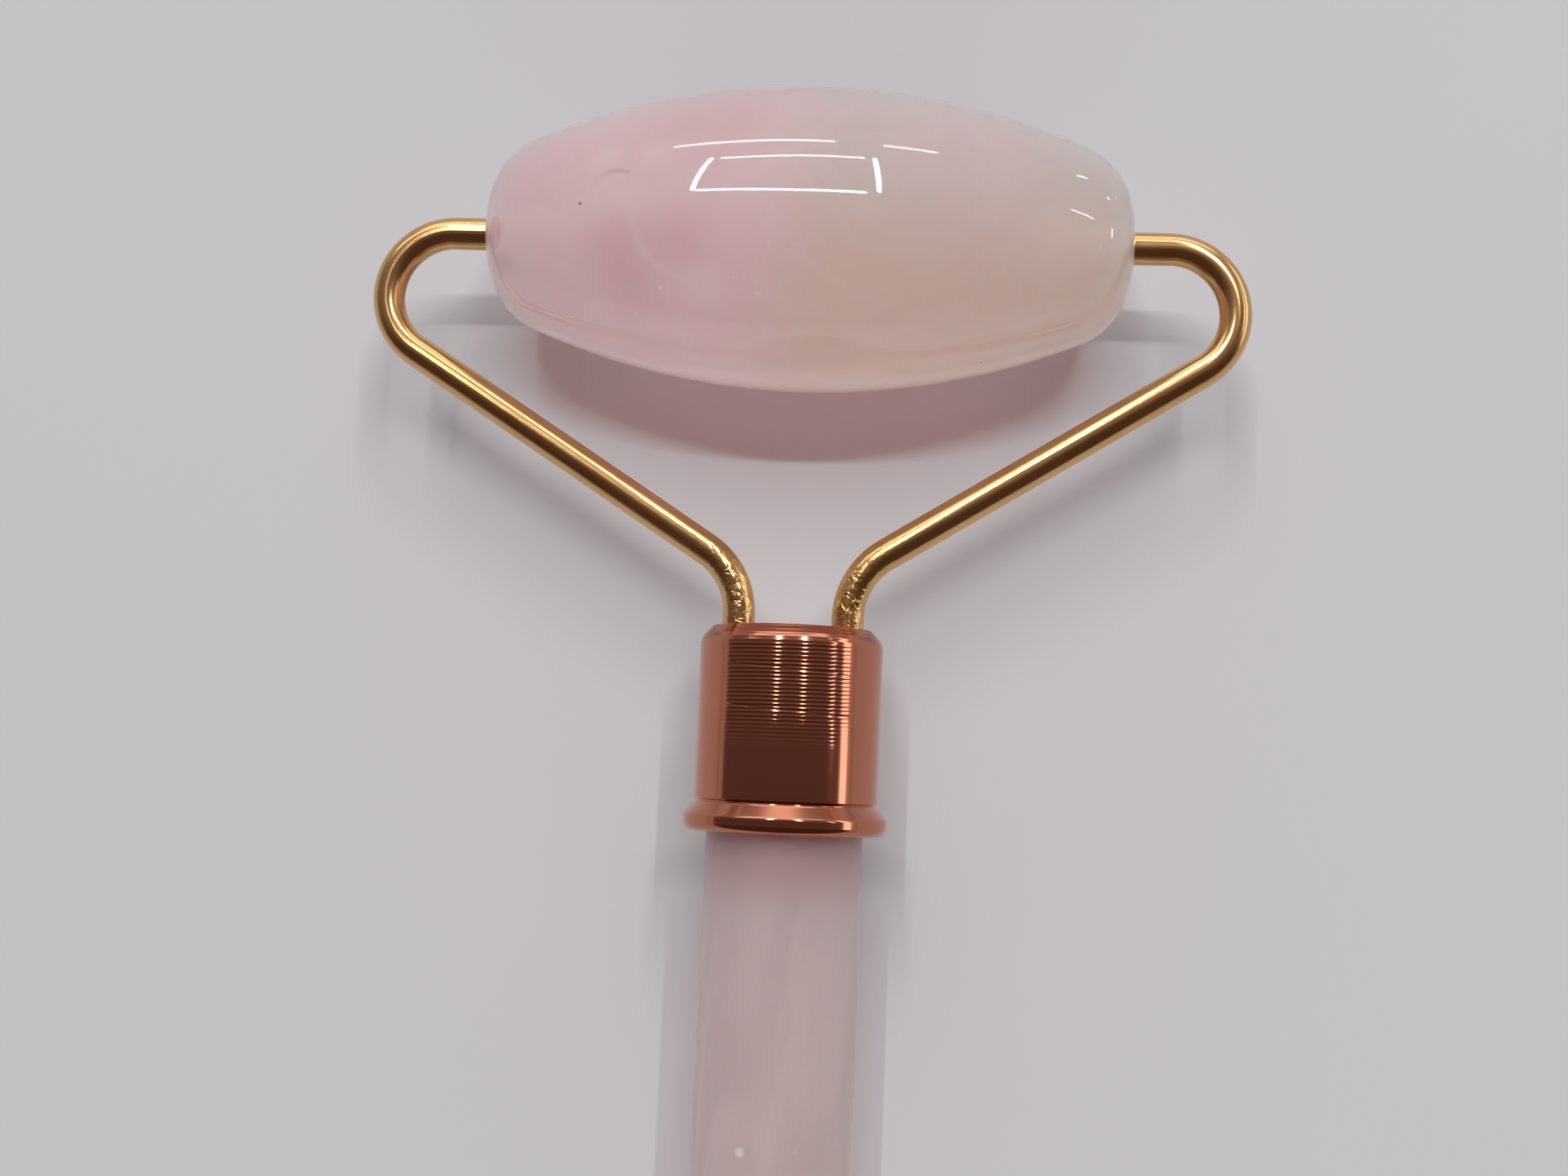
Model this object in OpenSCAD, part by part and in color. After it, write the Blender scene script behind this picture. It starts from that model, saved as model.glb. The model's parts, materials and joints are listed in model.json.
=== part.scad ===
// Double-ended stone face roller. A barrel of polished stone turns at each end, on a yoke of two bent
// wires, and a turned metal collar holds each yoke on an end of the stone handle.
// Sizes are millimetres. The roller lies on a table as it rests, on both of its stones, with the handle
// along Y and the large stone towards +Y.

/* [Large roller] */
// Length of the large stone between its end faces
large_roller_len = 40; // [34:0.5:48]
// Diameter of the large stone at its middle
large_roller_d = 18.8; // [15.5:0.1:23]
// Radius of the arc that swells the large stone
large_roller_arc = 44.5; // [36:0.5:60]
// Straight wire between the large stone and the bend beside it
large_run_out = 2.3; // [1:0.1:5]
// Centreline radius of the bend beside the large stone
large_bend_r = 4.1; // [3:0.1:6]

/* [Small roller] */
// Length of the small stone between its end faces
small_roller_len = 20; // [16.5:0.5:25]
// Diameter of the small stone at its middle
small_roller_d = 14.4; // [12:0.1:15.4]
// Radius of the arc that swells the small stone
small_roller_arc = 14; // [13:0.5:24]
// Straight wire between the small stone and the bend beside it
small_run_out = 2; // [1:0.1:5]
// Centreline radius of the bend beside the small stone
small_bend_r = 3.2; // [2.5:0.1:5]

/* [Wire yokes] */
// Diameter of the wire that both yokes are bent from
wire_d = 2; // [1.6:0.1:2.6]
// Angle between a slanted arm and the axis of its stone, in degrees
arm_slant = 32.2; // [25:0.1:42]
// Centreline radius of the bend above a collar
lower_bend_r = 4.7; // [3.5:0.1:6]
// Straight wire between a collar and the bend above it
leg_rise = 0.8; // [0.2:0.05:4]
// How much thicker the wire is in a bend than in its straight stretches, as a radius
bend_swell = 0.005; // [0.003:0.001:0.02]
// Length of wire inside a stone
pivot_len = 6.5; // [5:0.1:7.5]
// Adhesive between a leg and the wall of its collar's socket
leg_inset = 0.45; // [0.2:0.05:1]

/* [Bushes] */
// Wall thickness of the sleeve that a stone turns on
bush_wall = 0.3; // [0.2:0.05:0.6]
// Length of the sleeve
bush_len = 6; // [4:0.1:7]
// How far the sleeve lies below the stone's end face
bush_recess = 0.2; // [0:0.05:0.5]
// Width of the flat ring of stone around a bore
end_rim = 0.25; // [0.1:0.05:1]
// Free bore past the end of the wire
bore_end_gap = 0.8; // [0.3:0.1:1.5]

/* [Collars] */
// Length of a collar
collar_len = 12.4; // [10:0.1:18]
// Wall of a collar around the handle
collar_wall = 0.8; // [0.6:0.05:2]
// Width of the chamfer at the top of a collar
collar_chamfer_w = 0.7; // [0.2:0.05:0.8]
// Height of the chamfer at the top of a collar
collar_chamfer_h = 0.75; // [0.2:0.05:1]
// How far the bead at the mouth stands out from the collar's side
bead_rise = 0.62; // [0.4:0.02:0.9]
// Angle between the flare above the bead and the collar's axis, in degrees
bead_flare = 42; // [25:1:55]
// Radius of the rounding between the flare and the bead's side
bead_shoulder_r = 0.3; // [0.2:0.05:0.5]
// Length of the bead's straight side
bead_side = 0.35; // [0.2:0.05:1]
// Radius of the rounding between the bead's side and the mouth
bead_mouth_r = 0.5; // [0.2:0.05:0.8]
// Width of the tool groove above the flare
neck_groove_w = 0.3; // [0.15:0.05:0.5]
// Depth of the tool groove above the flare
neck_groove_depth = 0.12; // [0.05:0.01:0.2]
// Thickness of the web that closes the top of a collar
collar_web = 1.5; // [1:0.1:2.5]

/* [Adhesive] */
// Height of the adhesive plug between the web and the handle
plug_len = 4.5; // [3:0.1:5.5]
// Length of a wire leg in the plug
leg_in_plug = 3.5; // [2:0.1:5]

/* [Handle] */
// Length of the handle between the two collars
handle_len = 64; // [50:0.5:90]
// Diameter of the handle at the collars
handle_end_d = 9.5; // [7.5:0.1:12]
// How far the handle swells at its middle
handle_swell = 0.15; // [0.05:0.05:0.6]
// Chamfer on the ends of the handle
handle_chamfer = 0.4; // [0.2:0.05:1]

/* [Clearances] */
// Radial running clearance of a wire in its bush
running_clearance = 0.05; // [0.01:0.01:0.1]
// Radial clearance of a bush in its bore
bush_clearance = 0.02; // [0.01:0.01:0.05]
// Radial clearance of a leg in the web of its collar
hole_clearance = 0.05; // [0.02:0.01:0.1]
// Radial clearance of the handle in a collar's socket
socket_clearance = 0.05; // [0.02:0.01:0.1]
// Radial clearance around the adhesive and the legs that it holds
glue_clearance = 0.02; // [0.01:0.01:0.05]

/* [Hidden] */
$fn = 64;
// How far a step of a drawn arc may lie inside the true arc
arc_sag = 0.004;
// Depth that a cut runs past the face it opens
cut_over = 1;
// Length of straight wire that runs on inside a bend
bend_lap = 0.05;

wire_r = wire_d / 2;
bush_bore_r = wire_r + running_clearance;
bush_r = bush_bore_r + bush_wall;
stone_bore_r = bush_r + bush_clearance;
stone_bore_len = pivot_len + bore_end_gap;
stone_end_r = stone_bore_r + end_rim;

socket_r = handle_end_d / 2 + socket_clearance;
collar_r = socket_r + collar_wall;
bead_max_r = collar_r + bead_rise;
handle_seat = collar_len - collar_web - plug_len;
leg_x = socket_r - leg_inset - wire_r;
collar_top_y = handle_len / 2 + collar_len;

large_bend_x = large_roller_len / 2 + large_run_out;
small_bend_x = small_roller_len / 2 + small_run_out;
large_axis_h = axis_height(large_bend_x, large_bend_r);
small_axis_h = axis_height(small_bend_x, small_bend_r);
axis_distance = 2 * collar_top_y + large_axis_h + small_axis_h;

// The two stones differ in size, so the handle leans by this angle when both touch the table.
rest_tilt = asin((large_roller_d - small_roller_d) / 2 / axis_distance);
large_axis_rest_y = (axis_distance * cos(rest_tilt) - (large_roller_d - small_roller_d) / 2) / 2;

// Length of the slanted stretch that joins an upper bend at bend_x to the bend above a leg
function slant_length(bend_x, bend_r) =
    (bend_x - leg_x - lower_bend_r + (bend_r + lower_bend_r) * sin(arm_slant)) / cos(arm_slant);

// Height of a stone's axis above the top of its collar
function axis_height(bend_x, bend_r) =
    leg_rise + (bend_r + lower_bend_r) * cos(arm_slant) + bend_r
    + slant_length(bend_x, bend_r) * sin(arm_slant);

// Points on an arc about centre, from angle a to angle b
function arc(centre, r, a, b) =
    let (
        step = 2 * acos(1 - arc_sag / r),
        count = ceil(abs(b - a) / step)
    )
    [for (i = [0 : count]) centre + r * [cos(a + (b - a) * i / count), sin(a + (b - a) * i / count)]];

// Half outline of a barrel stone as [radius, length] points. The swelling arc meets a rounding that is
// tangent to it and to the end face, which keeps the radius stone_end_r.
function barrel_profile(len, d, swell_r) =
    let (
        half = len / 2,
        swell_c = d / 2 - swell_r,
        rise = stone_end_r - swell_c,
        round_r = (swell_r * swell_r - half * half - rise * rise) / (2 * (swell_r - half)),
        meet = atan2(half - round_r, rise),
        upper = arc([stone_end_r, half - round_r], round_r, 90, meet),
        side = arc([swell_c, 0], swell_r, meet, -meet),
        lower = arc([stone_end_r, round_r - half], round_r, -meet, -90)
    )
    concat([[0, half]], upper, [for (i = [1 : len(side) - 2]) side[i]], lower, [[0, -half]]);

// Sets a piece down as it lies on the table
module lying() {
    translate([0, large_axis_rest_y, large_roller_d / 2])
        rotate([rest_tilt, 0, 0])
            translate([0, -collar_top_y - large_axis_h, 0])
                children();
}

// Places a piece whose origin is the middle of the large collar's top, with its stone towards +Y
module at_large_end() {
    lying()
        translate([0, collar_top_y, 0])
            children();
}

// Places a piece in the same way at the small end
module at_small_end() {
    lying()
        mirror([0, 1, 0])
            translate([0, collar_top_y, 0])
                children();
}

// Turns a piece that stands along Z so that it lies along X
module along_x() {
    rotate([0, 90, 0])
        children();
}

// Turns a piece that stands along Z so that it lies along Y
module along_y() {
    rotate([-90, 0, 0])
        children();
}

// A bend of the wire about the origin, from one angle to another
module wire_bend(bend_r, from_angle, to_angle) {
    rotate([0, 0, from_angle])
        rotate_extrude(angle = to_angle - from_angle)
            translate([bend_r, 0])
                circle(r = wire_r + bend_swell);
}

// One bent wire on the +X side: pivot, upper bend, slanted arm, lower bend and leg
module bent_arm(roller_len, bend_x, bend_r, axis_h) {
    pivot_x = roller_len / 2 - pivot_len;
    leg_end_y = -collar_web - leg_in_plug;
    translate([pivot_x, axis_h, 0])
        along_x()
            cylinder(h = bend_x - pivot_x + bend_lap, r = wire_r);
    translate([bend_x, axis_h - bend_r, 0])
        wire_bend(bend_r, arm_slant - 90, 90);
    translate([leg_x + lower_bend_r, leg_rise, 0]) {
        wire_bend(lower_bend_r, 90 + arm_slant, 180);
        rotate([0, 0, arm_slant])
            translate([-bend_lap, lower_bend_r, 0])
                along_x()
                    cylinder(h = slant_length(bend_x, bend_r) + 2 * bend_lap, r = wire_r);
    }
    translate([leg_x, leg_end_y, 0])
        along_y()
            cylinder(h = leg_rise + bend_lap - leg_end_y, r = wire_r);
}

// A barrel stone along X with a blind bore in each end
module barrel_stone(len, d, swell_r) {
    along_x()
        difference() {
            rotate_extrude()
                polygon(barrel_profile(len, d, swell_r));
            for (side = [0, 1])
                mirror([0, 0, side])
                    translate([0, 0, len / 2 - stone_bore_len])
                        cylinder(h = stone_bore_len + cut_over, r = stone_bore_r);
        }
}

// The sleeve in the +X end of a stone
module bush(roller_len) {
    translate([roller_len / 2 - bush_recess - bush_len, 0, 0])
        along_x()
            difference() {
                cylinder(h = bush_len, r = bush_r);
                translate([0, 0, -cut_over])
                    cylinder(h = bush_len + 2 * cut_over, r = bush_bore_r);
            }
}

// Outline of a collar: chamfered top, straight side, tool groove, flare and bead. The flare is tangent
// to the rounding that leads it into the bead's side.
function collar_profile() =
    let (
        mouth_c = [bead_max_r - bead_mouth_r, bead_mouth_r - collar_len],
        shoulder_c = [bead_max_r - bead_shoulder_r, mouth_c[1] + bead_side],
        flare_end = shoulder_c + bead_shoulder_r * [cos(bead_flare), sin(bead_flare)],
        neck_y = flare_end[1] + (flare_end[0] - collar_r) / tan(bead_flare)
    )
    concat(
        [
            [0, 0],
            [collar_r - collar_chamfer_w, 0],
            [collar_r, -collar_chamfer_h],
            [collar_r, neck_y + neck_groove_w],
            [collar_r - neck_groove_depth, neck_y + neck_groove_w / 2],
            [collar_r, neck_y]
        ],
        arc(shoulder_c, bead_shoulder_r, bead_flare, 0),
        arc(mouth_c, bead_mouth_r, 0, -90),
        [[0, -collar_len]]
    );

// A collar along Y with its top at the origin: the socket for the handle and two holes for the legs
module turned_collar() {
    along_y()
        difference() {
            rotate_extrude()
                polygon(collar_profile());
            translate([0, 0, -collar_len - cut_over])
                cylinder(h = collar_len - collar_web + cut_over, r = socket_r);
            for (x = [-leg_x, leg_x])
                translate([x, 0, -collar_web - cut_over])
                    cylinder(h = collar_web + 2 * cut_over, r = wire_r + hole_clearance);
        }
}

// The plug of set adhesive under a collar's web, moulded round the two legs
module glue_plug() {
    translate([0, -collar_web - plug_len, 0])
        along_y()
            difference() {
                cylinder(h = plug_len, r = socket_r - glue_clearance);
                for (x = [-leg_x, leg_x])
                    translate([x, 0, plug_len - leg_in_plug])
                        cylinder(h = leg_in_plug + cut_over, r = wire_r + glue_clearance);
            }
}

// The stone bar: a slight swell between the collars and a plain round seat in each socket
module handle() {
    end_r = handle_end_d / 2;
    half = handle_len / 2;
    end_y = half + handle_seat;
    swell_arc = (half * half + handle_swell * handle_swell) / (2 * handle_swell);
    swell_angle = asin(half / swell_arc);
    swell_c = [end_r + handle_swell - swell_arc, 0];
    color("#b7a2a3")
        lying()
            along_y()
                rotate_extrude()
                    polygon(concat(
                        [[0, end_y], [end_r - handle_chamfer, end_y], [end_r, end_y - handle_chamfer]],
                        arc(swell_c, swell_arc, swell_angle, -swell_angle),
                        [[end_r, handle_chamfer - end_y], [end_r - handle_chamfer, -end_y], [0, -end_y]]
                    ));
}

module large_collar() {
    color("#b5694f")
        at_large_end()
            turned_collar();
}

module large_collar_glue() {
    color("#d9d0b4")
        at_large_end()
            glue_plug();
}

module large_arm_right() {
    color("#c7924a")
        at_large_end()
            bent_arm(large_roller_len, large_bend_x, large_bend_r, large_axis_h);
}

module large_arm_left() {
    color("#c7924a")
        at_large_end()
            mirror([1, 0, 0])
                bent_arm(large_roller_len, large_bend_x, large_bend_r, large_axis_h);
}

module large_roller() {
    color("#d3adae")
        at_large_end()
            translate([0, large_axis_h, 0])
                barrel_stone(large_roller_len, large_roller_d, large_roller_arc);
}

module large_bush_right() {
    color("#e6e0d6")
        at_large_end()
            translate([0, large_axis_h, 0])
                bush(large_roller_len);
}

module large_bush_left() {
    color("#e6e0d6")
        at_large_end()
            translate([0, large_axis_h, 0])
                mirror([1, 0, 0])
                    bush(large_roller_len);
}

module small_collar() {
    color("#b5694f")
        at_small_end()
            turned_collar();
}

module small_collar_glue() {
    color("#d9d0b4")
        at_small_end()
            glue_plug();
}

module small_arm_right() {
    color("#c7924a")
        at_small_end()
            bent_arm(small_roller_len, small_bend_x, small_bend_r, small_axis_h);
}

module small_arm_left() {
    color("#c7924a")
        at_small_end()
            mirror([1, 0, 0])
                bent_arm(small_roller_len, small_bend_x, small_bend_r, small_axis_h);
}

module small_roller() {
    color("#d3adae")
        at_small_end()
            translate([0, small_axis_h, 0])
                barrel_stone(small_roller_len, small_roller_d, small_roller_arc);
}

module small_bush_right() {
    color("#e6e0d6")
        at_small_end()
            translate([0, small_axis_h, 0])
                bush(small_roller_len);
}

module small_bush_left() {
    color("#e6e0d6")
        at_small_end()
            translate([0, small_axis_h, 0])
                mirror([1, 0, 0])
                    bush(small_roller_len);
}

handle();
large_collar();
large_collar_glue();
large_arm_left();
large_arm_right();
large_roller();
large_bush_left();
large_bush_right();
small_collar();
small_collar_glue();
small_arm_left();
small_arm_right();
small_roller();
small_bush_left();
small_bush_right();
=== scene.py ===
"""Looks of a double-ended stone face roller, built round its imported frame.

Sizes are in millimetres and repeat those of the part's source. Each end of the object has
a frame of its own: its origin is the middle of the collar's top, x goes across, y along the
handle to the stone, and z square to the yoke. EndFrame takes points from there to metres.
"""

import json
import logging
import math
from dataclasses import dataclass, field
from enum import Enum
from typing import Any, Mapping, Sequence

import bpy
import numpy as np
from mathutils import Matrix, Vector


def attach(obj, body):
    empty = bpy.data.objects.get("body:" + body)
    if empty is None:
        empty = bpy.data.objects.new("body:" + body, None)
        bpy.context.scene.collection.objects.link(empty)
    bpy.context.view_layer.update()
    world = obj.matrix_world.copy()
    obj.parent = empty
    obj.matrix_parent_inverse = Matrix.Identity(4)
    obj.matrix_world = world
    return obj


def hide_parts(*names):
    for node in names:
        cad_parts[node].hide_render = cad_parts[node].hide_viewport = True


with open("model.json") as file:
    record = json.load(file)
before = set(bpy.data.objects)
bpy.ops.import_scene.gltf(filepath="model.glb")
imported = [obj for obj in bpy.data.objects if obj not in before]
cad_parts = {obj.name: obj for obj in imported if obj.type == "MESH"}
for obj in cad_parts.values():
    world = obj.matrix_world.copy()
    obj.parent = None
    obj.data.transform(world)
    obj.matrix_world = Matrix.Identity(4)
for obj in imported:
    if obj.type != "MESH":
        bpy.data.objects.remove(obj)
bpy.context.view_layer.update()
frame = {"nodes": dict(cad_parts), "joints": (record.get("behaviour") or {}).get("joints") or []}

LOG = logging.getLogger("face_roller")
MM = 0.001

# Places of the colour sockets of a Mix node, whose names repeat for each data type
MIX_A, MIX_B, MIX_RESULT = 6, 7, 2
# Heights between which most of a noise lies
NOISE_LOW, NOISE_HIGH = 0.3, 0.7


class End(Enum):
    """The two ends of the object."""

    LARGE = "large"
    SMALL = "small"


class Side(Enum):
    """The two sides of a yoke, as the sign of x."""

    LEFT = -1
    RIGHT = 1

    @property
    def word(self) -> str:
        """The side's name in the names of pieces."""
        return self.name.lower()


class Duty(Enum):
    """What a lamp is for."""

    LIGHT = "lights the surfaces and shows in no gloss"
    STONE = "shows only in the gloss of the stones"
    METAL = "shows only in the gloss of the metal"

    @property
    def pieces(self) -> bpy.types.Collection:
        """The pieces that a lamp of this duty is meant for."""
        name = self.name.lower()
        return bpy.data.collections.get(name) or bpy.data.collections.new(name)


# Colour and nodes


def linear(hex_code: str) -> tuple[float, float, float, float]:
    """Turns an sRGB hex code into linear colour.

    Args:
        hex_code: Six hex digits after a #.

    Returns:
        Red, green, blue and an alpha of 1.
    """
    srgb = np.array([int(hex_code[i:i + 2], 16) for i in (1, 3, 5)]) / 255
    value = np.where(srgb <= 0.04045, srgb / 12.92, ((srgb + 0.055) / 1.055) ** 2.4)
    return (*map(float, value), 1.0)


def add_node(
    tree: bpy.types.NodeTree,
    kind: str,
    inputs: Mapping[str | int, Any] | None = None,
    **settings: Any,
) -> bpy.types.Node:
    """Adds one node with its settings, values and links.

    Args:
        tree: Node tree that takes the node.
        kind: Node type without its ShaderNode prefix.
        inputs: Input sockets by name or place, each with a value or with the output to link.
        settings: Properties of the node itself.

    Returns:
        The new node.
    """
    node = tree.nodes.new("ShaderNode" + kind)
    for name, value in settings.items():
        setattr(node, name, value)
    for socket, value in (inputs or {}).items():
        if isinstance(value, bpy.types.NodeSocket):
            tree.links.new(value, node.inputs[socket])
        else:
            node.inputs[socket].default_value = value
    return node


def new_material(name: str) -> tuple[bpy.types.Material, bpy.types.NodeTree]:
    """Makes a material with an empty node tree.

    Args:
        name: Name of the material.

    Returns:
        The material and its tree.
    """
    material = bpy.data.materials.new(name)
    material.use_nodes = True
    material.node_tree.nodes.clear()
    return material, material.node_tree


# Surfaces


@dataclass(frozen=True)
class Tube:
    """A closed surface of rings along a line, with a middle point at each end.

    Attributes:
        rings: Points by ring and by place around the ring, in millimetres.
        flow: Where each point lies on the straightened piece, for patterns that follow it.
    """

    rings: np.ndarray
    flow: np.ndarray

    @staticmethod
    def with_middles(rings: np.ndarray) -> np.ndarray:
        """Flat list of the points, with the mean of the first and of the last ring around it."""
        first, last = rings[0].mean(0), rings[-1].mean(0)
        return np.concatenate([first[None], rings.reshape(-1, 3), last[None]])

    def faces(self) -> tuple[np.ndarray, np.ndarray]:
        """Joins neighbouring rings by quads, and each end ring to its middle by triangles.

        Returns:
            Quads and triangles as rows of vertex numbers.
        """
        rows, cols = self.rings.shape[:2]
        number = 1 + np.arange(rows * cols).reshape(rows, cols)
        beside = np.roll(number, -1, axis=1)
        quads = np.stack([number[:-1], beside[:-1], beside[1:], number[1:]], -1).reshape(-1, 4)
        first = np.stack([np.zeros(cols, int), beside[0], number[0]], -1)
        last = np.stack([np.full(cols, rows * cols + 1), number[-1], beside[-1]], -1)
        return quads, np.concatenate([first, last])


def circle(count: int) -> tuple[np.ndarray, np.ndarray]:
    """Cosine and sine of evenly spaced angles around a full turn.

    Args:
        count: Number of angles.

    Returns:
        The two arrays.
    """
    angle = np.arange(count) * (2 * math.pi / count)
    return np.cos(angle), np.sin(angle)


def arc_points(
    centre: tuple[float, float], radius: float, start: float, end: float, count: int
) -> np.ndarray:
    """Points on a circular arc: the centre plus the radius along evenly spaced angles.

    Args:
        centre: Middle of the arc.
        radius: Its radius.
        start: First angle, in radians.
        end: Last angle, in radians.
        count: Number of points, both ends counted.

    Returns:
        Points as rows.
    """
    angle = np.linspace(start, end, count)
    return np.array(centre) + radius * np.stack([np.cos(angle), np.sin(angle)], -1)


def polished_waves(points: np.ndarray, length: float) -> np.ndarray:
    """Faint hand-polished unevenness: the mean of sine waves that run in several directions.

    Args:
        points: Points in millimetres.
        length: Length of the waves in millimetres.

    Returns:
        Heights from about -1 to 1, one for each point.
    """
    directions = np.array([(1.0, 0.3, 0.2), (-0.4, 0.9, 0.5), (0.2, -0.6, 1.1), (0.8, 0.7, -0.6)])
    phases = np.array([0.4, 2.1, 3.7, 5.2])
    return np.sin(points @ directions.T * (2 * math.pi / length) + phases).mean(-1)


@dataclass(frozen=True)
class EndFrame:
    """Where one end of the object lies.

    Attributes:
        end: Which end it is.
        origin: Middle of the collar's top, in metres.
        axes: Rows are the unit vectors across, along the handle to the stone, and up.
    """

    end: End
    origin: np.ndarray
    axes: np.ndarray

    @classmethod
    def of(cls, end: End, axis_height: float) -> "EndFrame":
        """Reads an end's place from the two roller joints.

        Args:
            end: Which end.
            axis_height: From the collar's top to the stone's axis, in millimetres.

        Returns:
            The end's frame.
        """
        places = {one: cls.joint_place(one) for one in End}
        other = End.SMALL if end is End.LARGE else End.LARGE
        along = places[end] - places[other]
        along /= np.linalg.norm(along)
        across = np.array([1.0, 0.0, 0.0])
        up = np.cross(across, along)
        up *= np.sign(up[2])
        return cls(end, places[end] - axis_height * MM * along, np.stack([across, along, up]))

    @staticmethod
    def joint_place(end: End) -> np.ndarray:
        """Middle of a stone's axis in metres, from the joint it turns on."""
        joint = next(j for j in frame["joints"] if j["name"] == f"{end.value}_roller_spin")
        return np.array(joint["pos_m"], float)

    def place(self, points: np.ndarray) -> np.ndarray:
        """Takes points from this frame in millimetres to the row frame in metres."""
        return self.origin + MM * points @ self.axes


def add_mesh(name: str, vertices: np.ndarray, tube: Tube, crease: float) -> bpy.types.Object:
    """Puts a tube's points and faces into a mesh object.

    Args:
        name: Name of the object.
        vertices: Points in metres, in the order of Tube.with_middles.
        tube: The tube that gives the faces and the flow attribute.
        crease: Edges sharper than this angle, in degrees, stay sharp.

    Returns:
        The object, linked to the scene.
    """
    quads, triangles = tube.faces()
    corners = vertices[quads]
    spokes = np.cross(corners[:, 2] - corners[:, 0], corners[:, 3] - corners[:, 1])
    if np.einsum("ij,ij->", corners.mean(1) - vertices.mean(0), spokes) < 0:
        quads, triangles = quads[:, ::-1], triangles[:, ::-1]
    loops = np.concatenate([quads.ravel(), triangles.ravel()])
    totals = np.concatenate([np.full(len(quads), 4), np.full(len(triangles), 3)])
    mesh = bpy.data.meshes.new(name)
    mesh.vertices.add(len(vertices))
    mesh.vertices.foreach_set("co", vertices.ravel())
    mesh.loops.add(len(loops))
    mesh.loops.foreach_set("vertex_index", loops)
    mesh.polygons.add(len(totals))
    mesh.polygons.foreach_set("loop_start", np.cumsum(totals) - totals)
    mesh.update(calc_edges=True)
    mesh.shade_smooth()
    mesh.set_sharp_from_angle(angle=math.radians(crease))
    flow = mesh.attributes.new("flow", "FLOAT_VECTOR", "POINT")
    flow.data.foreach_set("vector", Tube.with_middles(tube.flow).ravel())
    mesh.validate()
    obj = bpy.data.objects.new(name, mesh)
    bpy.context.scene.collection.objects.link(obj)
    return obj


def fit_piece(
    obj: bpy.types.Object, material: bpy.types.Material, body: str, slot: str, *nodes: str
) -> None:
    """Dresses a piece, ties it to its body and lets it stand for its CAD nodes.

    It also joins the pieces that the lamps for its stone or metal are meant for.

    Args:
        obj: The piece.
        material: Its finish.
        body: CAD body that it moves with.
        slot: Name of its material slot in the record; a stone slot puts it among the stone pieces,
            any other among the metal.
        nodes: CAD nodes that it stands for.
    """
    obj.data.materials.clear()
    obj.data.materials.append(material)
    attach(obj, body)
    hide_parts(*nodes)
    duty = Duty.STONE if "stone" in slot else Duty.METAL
    duty.pieces.objects.link(obj)
    LOG.info("%s: %d faces, on %s", obj.name, len(obj.data.polygons), body)


# Finishes


@dataclass(frozen=True)
class Cloud:
    """A soft round patch of another colour in a stone.

    Attributes:
        middle: Its middle, in millimetres from the stone's centre.
        reach: Where it has faded out, in millimetres from its middle.
        tint: Its colour.
        share: Share of that colour in the middle.
        core: Part of the reach over which it keeps that share.
    """

    middle: tuple[float, float, float]
    reach: float
    tint: str
    share: float
    core: float = 0.0


@dataclass(frozen=True)
class HealedCrack:
    """A thin curved sheet in a stone: a patch on the skin of a ball.

    Attributes:
        middle: Middle of the ball, in millimetres from the stone's centre.
        radius: Radius of the ball.
        towards: Unit vector from the ball's middle to the middle of the patch.
        width: Thickness of the sheet.
        tint: Its colour.
        share: Share of that colour in the middle.
    """

    middle: tuple[float, float, float]
    radius: float
    towards: tuple[float, float, float]
    width: float
    tint: str
    share: float


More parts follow.
